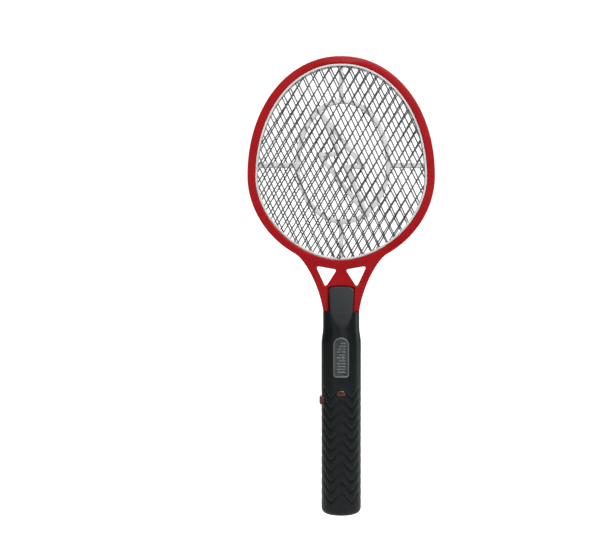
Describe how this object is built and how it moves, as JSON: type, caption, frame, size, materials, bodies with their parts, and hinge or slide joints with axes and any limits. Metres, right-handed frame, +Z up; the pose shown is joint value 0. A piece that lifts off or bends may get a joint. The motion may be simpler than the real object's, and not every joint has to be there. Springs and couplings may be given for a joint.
{
  "type": "electric fly swatter",
  "caption": "Racket-shaped electric insect swatter: oval red head holding two metal grids on a spacer, black battery handle with thumb button and lamp.",
  "frame": {"origin": "middle of the flat base of the handle", "axes": "+Z up the racket from the handle's base to the top of the head; -Y is the front, with the lamp and the badge; the push button is on the -X side"},
  "size_m": [0.1938, 0.0394, 0.4732],
  "materials": {
    "red_plastic": "red moulded plastic, satin gloss",
    "black_plastic": "black moulded plastic, fine satin texture",
    "grey_plastic": "pale grey moulded plastic",
    "grid_metal": "dull grey expanded metal",
    "bright_metal": "plated steel",
    "button_plastic": "dark red moulded plastic",
    "lamp_red": "clear red plastic",
    "board_green": "green solder mask",
    "part_black": "black moulded part",
    "lead_black": "black wire insulation",
    "lead_red": "red wire insulation",
    "copper": "enamelled copper winding",
    "film_brown": "dipped film capacitor",
    "resistor_tan": "resistor lacquer",
    "cell_jacket": "plain battery jacket"
  },
  "bodies": {
    "root": {"frame_front": "red_plastic", "frame_rear": "red_plastic", "handle_front": "black_plastic", "handle_rear": "black_plastic", "badge_plate": "black_plastic", "grid_spacer": "grey_plastic", "rim_cover_front": "grey_plastic", "rim_cover_rear": "grey_plastic", "grid_front": "grid_metal", "grid_rear": "grid_metal", "grid_rivet_front": "bright_metal", "grid_rivet_rear": "bright_metal", "button_spring": "bright_metal", "contact_bridge": "bright_metal", "contact_positive": "bright_metal", "contact_negative": "bright_metal", "contact_spring_lower": "bright_metal", "contact_spring_upper": "bright_metal", "ring_screw_1": "bright_metal", "ring_screw_2": "bright_metal", "ring_screw_3": "bright_metal", "ring_screw_4": "bright_metal", "ring_screw_5": "bright_metal", "ring_screw_6": "bright_metal", "tongue_screw_1": "bright_metal", "tongue_screw_2": "bright_metal", "handle_screw_1": "bright_metal", "handle_screw_2": "bright_metal", "handle_screw_3": "bright_metal", "handle_screw_4": "bright_metal", "board_screw_1": "bright_metal", "board_screw_2": "bright_metal", "lamp_window": "lamp_red", "lamp_led": "lamp_red", "circuit_board": "board_green", "switch_body": "part_black", "transformer_core": "part_black", "drive_transistor": "part_black", "rectifier_diode_1": "part_black", "rectifier_diode_2": "part_black", "rectifier_diode_3": "part_black", "lead_front_grid": "lead_black", "battery_lead_negative": "lead_black", "lead_rear_grid": "lead_red", "battery_lead_positive": "lead_red", "transformer_winding": "copper", "storage_capacitor": "film_brown", "boost_capacitor_1": "film_brown", "boost_capacitor_2": "film_brown", "bleed_resistor": "resistor_tan", "base_resistor": "resistor_tan", "lamp_resistor": "resistor_tan", "cell_left": "cell_jacket", "cell_right": "cell_jacket"},
    "button": {"push_button": "button_plastic"},
    "plunger": {"switch_plunger": "button_plastic"},
    "door": {"battery_door": "black_plastic"}
  },
  "joints": [
    {"name": "button_slide", "type": "slide", "parent": "root", "child": "button", "axis": [1, 0, 0], "range_m": [0, 0.0015], "stiffness_N_per_m": 1500, "springref_m": -0.0007, "deforming": ["button_spring"]},
    {"name": "plunger_slide", "type": "slide", "parent": "root", "child": "plunger", "axis": [1, 0, 0], "range_m": [0, 0.0015]},
    {"name": "door_slide", "type": "slide", "parent": "root", "child": "door", "axis": [0, 0, -1], "range_m": [0, 0.06]}
  ],
  "couplings": [
    {"joint": "plunger_slide", "follows": "button_slide", "ratio": 1}
  ]
}
